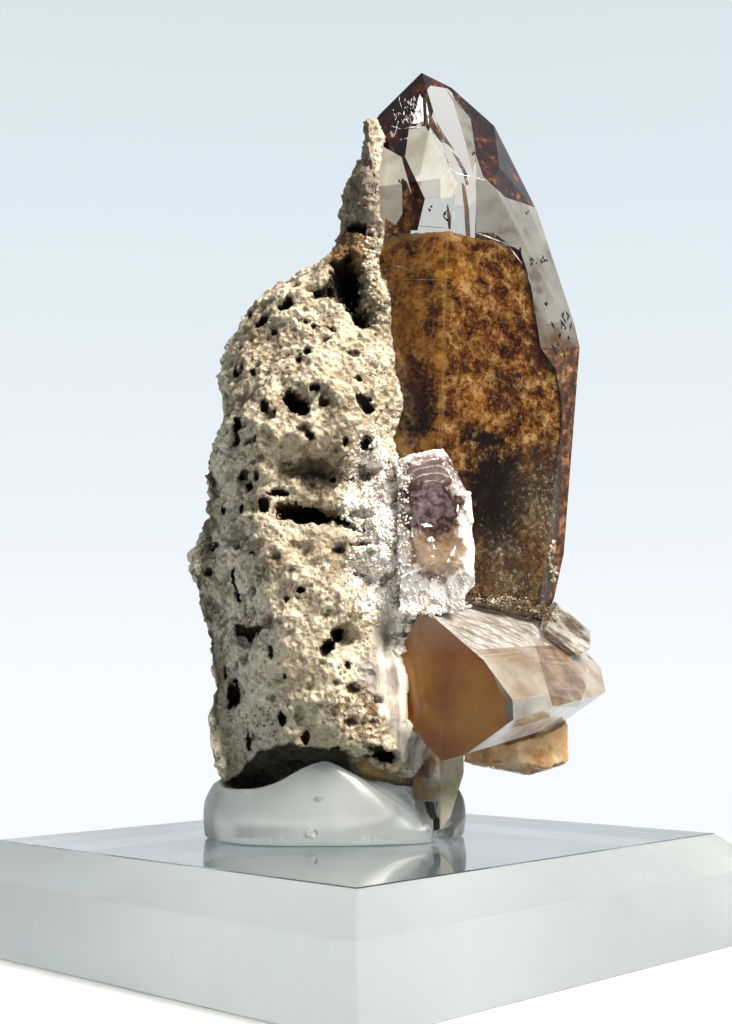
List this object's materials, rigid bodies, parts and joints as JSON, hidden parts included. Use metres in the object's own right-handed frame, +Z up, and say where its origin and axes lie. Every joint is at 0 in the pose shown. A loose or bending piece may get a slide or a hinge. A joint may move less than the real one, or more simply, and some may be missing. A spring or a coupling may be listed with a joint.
{
  "type": "topaz crystal",
  "caption": "Brown sherry topaz crystals grown in pitted cream rhyolite, seated in clear gel on a square bevelled acrylic block.",
  "frame": {"origin": "centre of the acrylic block's underside", "axes": "+Z up along the main crystal, X and Y along the block's sides; the specimen's front faces between +X and -Y"},
  "size_m": [0.0508, 0.0508, 0.0785],
  "materials": {
    "clear_acrylic": "polished",
    "clear_gel": "glossy",
    "rhyolite": "rough",
    "brown_topaz": "polished",
    "peach_topaz": "satin",
    "broken_topaz": "broken",
    "tan_topaz": "satin",
    "grey_topaz": "striated"
  },
  "bodies": {
    "root": {"acrylic_base": "clear_acrylic", "gel_pad": "clear_gel", "rhyolite_matrix": "rhyolite", "main_crystal": "brown_topaz", "lower_crystal": "peach_topaz", "middle_crystal": "broken_topaz", "rear_crystal": "tan_topaz", "foot_crystal": "grey_topaz"}
  },
  "joints": []
}
